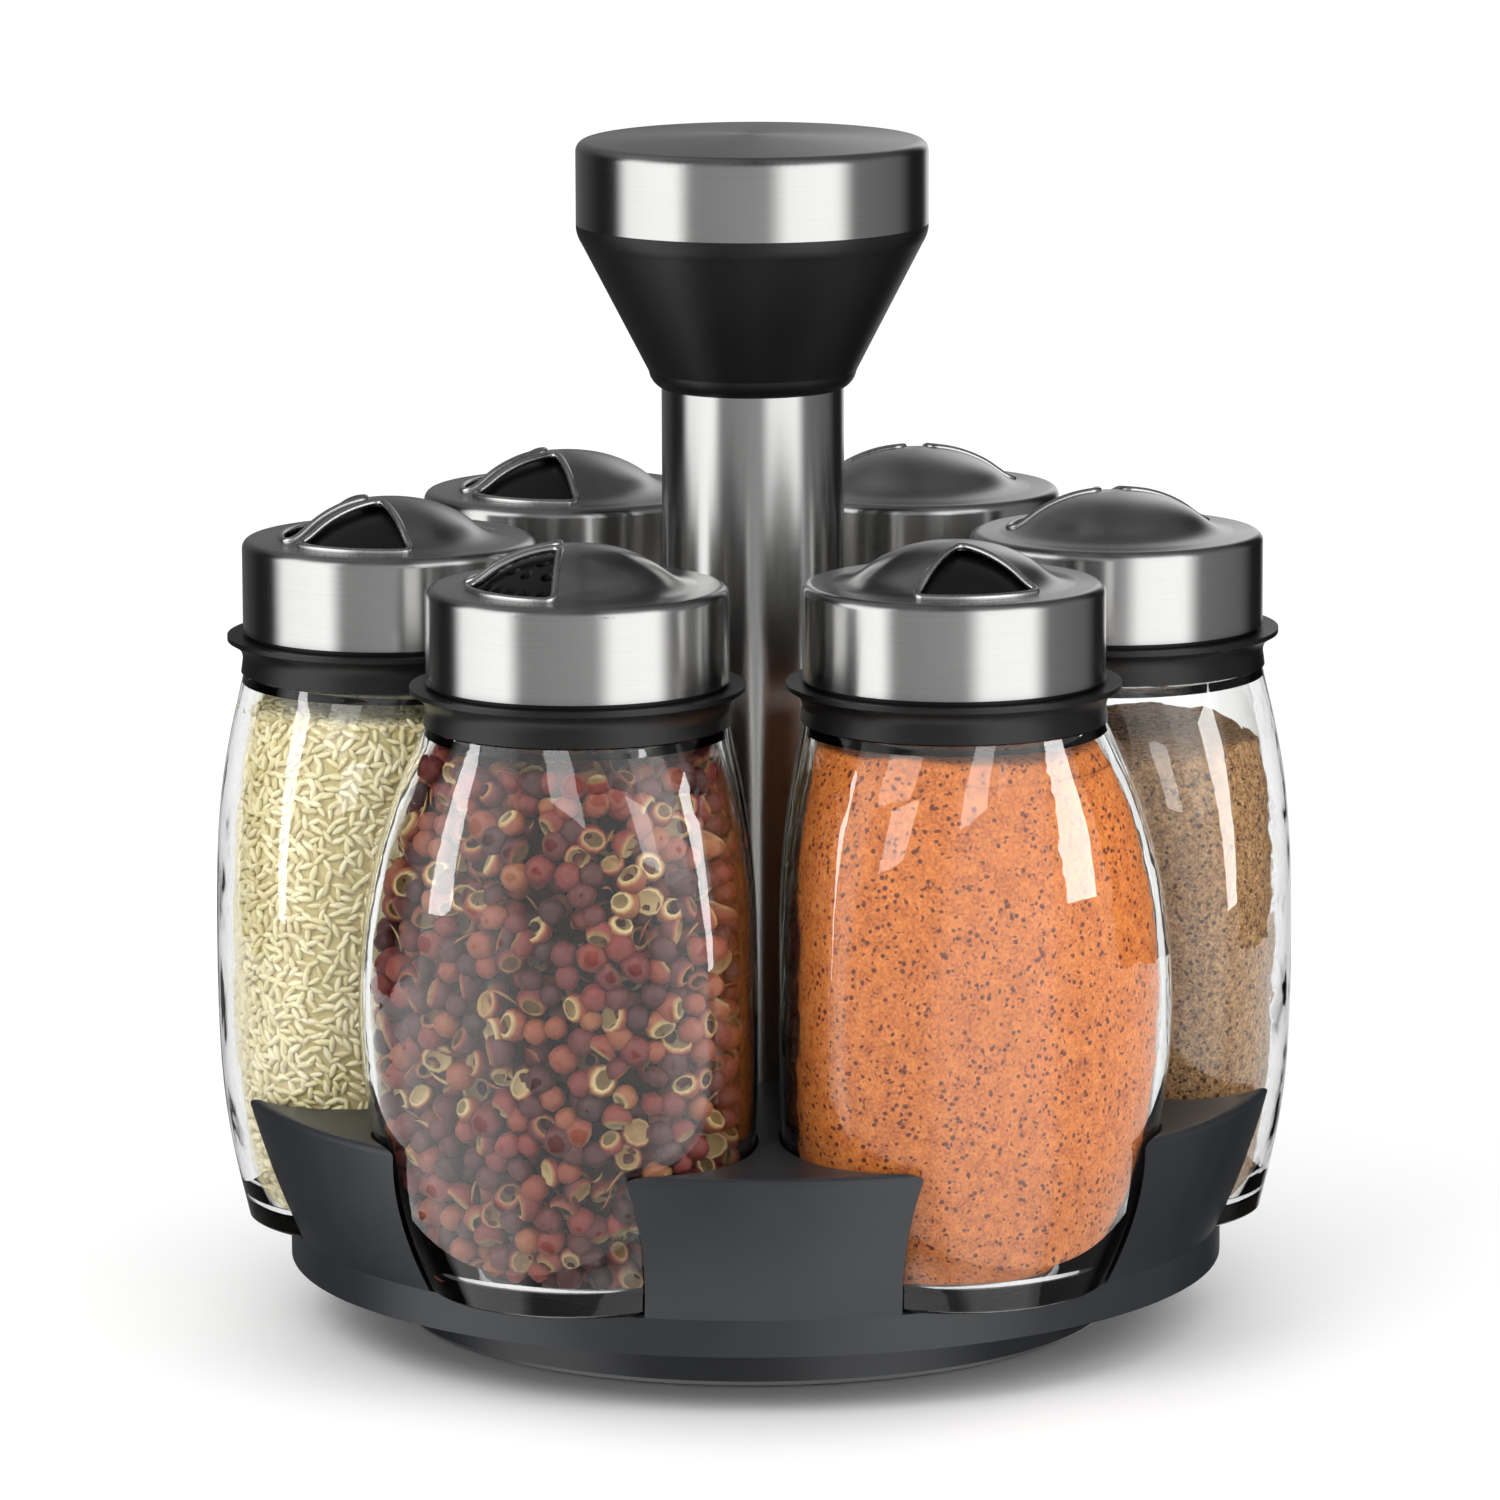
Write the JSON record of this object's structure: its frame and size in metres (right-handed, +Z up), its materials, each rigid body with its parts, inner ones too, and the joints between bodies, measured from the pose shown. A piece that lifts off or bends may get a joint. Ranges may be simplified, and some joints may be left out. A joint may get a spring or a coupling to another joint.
{
  "type": "spice carousel",
  "caption": "Turntable spice rack: glass shaker jars stand between towers on a moulded tray around a steel column with a funnel-shaped knob.",
  "frame": {"origin": "on the table under the column's axis", "axes": "+Z up along the column, -Y to the front, where a tower stands between two jars"},
  "size_m": [0.1784, 0.1724, 0.1964],
  "materials": {
    "charcoal_plastic": "fine moulded, semi-gloss",
    "black_plastic": "fine satin moulded",
    "cage_plastic": "plain moulded",
    "brushed_steel": "turned brushed stainless",
    "polished_steel": "bright zinc",
    "brass_insert": "turned",
    "foot_rubber": "matt",
    "seal_rubber": "translucent silicone",
    "clear_glass": "pressed clear glass, faint green edge",
    "sichuan_peppercorn": "dry split husks, red-brown with cream insides",
    "chilli_powder": "fine orange powder with dark specks",
    "ground_cumin": "coarse tan-brown powder",
    "black_pepper": "coarse dark grains",
    "turmeric_powder": "fine deep yellow powder",
    "pale_grain": "short pale yellow grains"
  },
  "bodies": {
    "foot": {"foot_disc": "charcoal_plastic", "rubber_feet": "foot_rubber", "lower_race": "polished_steel"},
    "cage": {"ball_cage": "cage_plastic", "bearing_balls": "polished_steel"},
    "carousel": {"tray": "charcoal_plastic", "upper_race": "polished_steel", "column_tube": "brushed_steel", "tie_rod": "polished_steel", "rod_washer": "polished_steel", "knob_cone": "black_plastic", "knob_insert": "brass_insert", "knob_cap": "brushed_steel"},
    "jar_front_left": {"glass_jar_front_left": "clear_glass", "spice_front_left": "sichuan_peppercorn"},
    "lid_front_left": {"shaker_insert_front_left": "black_plastic", "neck_seal_front_left": "seal_rubber"},
    "dial_front_left": {"dial_cap_front_left": "brushed_steel"},
    "jar_front_right": {"glass_jar_front_right": "clear_glass", "spice_front_right": "chilli_powder"},
    "lid_front_right": {"shaker_insert_front_right": "black_plastic", "neck_seal_front_right": "seal_rubber"},
    "dial_front_right": {"dial_cap_front_right": "brushed_steel"},
    "jar_right": {"glass_jar_right": "clear_glass", "spice_right": "ground_cumin"},
    "lid_right": {"shaker_insert_right": "black_plastic", "neck_seal_right": "seal_rubber"},
    "dial_right": {"dial_cap_right": "brushed_steel"},
    "jar_rear_right": {"glass_jar_rear_right": "clear_glass", "spice_rear_right": "black_pepper"},
    "lid_rear_right": {"shaker_insert_rear_right": "black_plastic", "neck_seal_rear_right": "seal_rubber"},
    "dial_rear_right": {"dial_cap_rear_right": "brushed_steel"},
    "jar_rear_left": {"glass_jar_rear_left": "clear_glass", "spice_rear_left": "turmeric_powder"},
    "lid_rear_left": {"shaker_insert_rear_left": "black_plastic", "neck_seal_rear_left": "seal_rubber"},
    "dial_rear_left": {"dial_cap_rear_left": "brushed_steel"},
    "jar_left": {"glass_jar_left": "clear_glass", "spice_left": "pale_grain"},
    "lid_left": {"shaker_insert_left": "black_plastic", "neck_seal_left": "seal_rubber"},
    "dial_left": {"dial_cap_left": "brushed_steel"}
  },
  "joints": [
    {"name": "tray_spin", "type": "hinge", "parent": "foot", "child": "carousel", "pos_m": [0, 0, 0.0104], "axis": [0, 0, 1], "continuous": true},
    {"name": "cage_spin", "type": "hinge", "parent": "foot", "child": "cage", "pos_m": [0, 0, 0.0104], "axis": [0, 0, 1], "continuous": true},
    {"name": "jar_lift_front_left", "type": "slide", "parent": "carousel", "child": "jar_front_left", "axis": [0, 0, 1], "range_m": [0, 0.06]},
    {"name": "lid_lift_front_left", "type": "slide", "parent": "jar_front_left", "child": "lid_front_left", "axis": [0, 0, 1], "range_m": [0, 0.03]},
    {"name": "dial_turn_front_left", "type": "hinge", "parent": "lid_front_left", "child": "dial_front_left", "pos_m": [-0.03, -0.05196, 0.12], "axis": [0, 0, 1], "continuous": true},
    {"name": "jar_lift_front_right", "type": "slide", "parent": "carousel", "child": "jar_front_right", "axis": [0, 0, 1], "range_m": [0, 0.06]},
    {"name": "lid_lift_front_right", "type": "slide", "parent": "jar_front_right", "child": "lid_front_right", "axis": [0, 0, 1], "range_m": [0, 0.03]},
    {"name": "dial_turn_front_right", "type": "hinge", "parent": "lid_front_right", "child": "dial_front_right", "pos_m": [0.03, -0.05196, 0.12], "axis": [0, 0, 1], "continuous": true},
    {"name": "jar_lift_right", "type": "slide", "parent": "carousel", "child": "jar_right", "axis": [0, 0, 1], "range_m": [0, 0.06]},
    {"name": "lid_lift_right", "type": "slide", "parent": "jar_right", "child": "lid_right", "axis": [0, 0, 1], "range_m": [0, 0.03]},
    {"name": "dial_turn_right", "type": "hinge", "parent": "lid_right", "child": "dial_right", "pos_m": [0.06, 0, 0.12], "axis": [0, 0, 1], "continuous": true},
    {"name": "jar_lift_rear_right", "type": "slide", "parent": "carousel", "child": "jar_rear_right", "axis": [0, 0, 1], "range_m": [0, 0.06]},
    {"name": "lid_lift_rear_right", "type": "slide", "parent": "jar_rear_right", "child": "lid_rear_right", "axis": [0, 0, 1], "range_m": [0, 0.03]},
    {"name": "dial_turn_rear_right", "type": "hinge", "parent": "lid_rear_right", "child": "dial_rear_right", "pos_m": [0.03, 0.05196, 0.12], "axis": [0, 0, 1], "continuous": true},
    {"name": "jar_lift_rear_left", "type": "slide", "parent": "carousel", "child": "jar_rear_left", "axis": [0, 0, 1], "range_m": [0, 0.06]},
    {"name": "lid_lift_rear_left", "type": "slide", "parent": "jar_rear_left", "child": "lid_rear_left", "axis": [0, 0, 1], "range_m": [0, 0.03]},
    {"name": "dial_turn_rear_left", "type": "hinge", "parent": "lid_rear_left", "child": "dial_rear_left", "pos_m": [-0.03, 0.05196, 0.12], "axis": [0, 0, 1], "continuous": true},
    {"name": "jar_lift_left", "type": "slide", "parent": "carousel", "child": "jar_left", "axis": [0, 0, 1], "range_m": [0, 0.06]},
    {"name": "lid_lift_left", "type": "slide", "parent": "jar_left", "child": "lid_left", "axis": [0, 0, 1], "range_m": [0, 0.03]},
    {"name": "dial_turn_left", "type": "hinge", "parent": "lid_left", "child": "dial_left", "pos_m": [-0.06, 0, 0.12], "axis": [0, 0, 1], "continuous": true}
  ],
  "couplings": [
    {"joint": "cage_spin", "follows": "tray_spin", "ratio": 0.5}
  ]
}
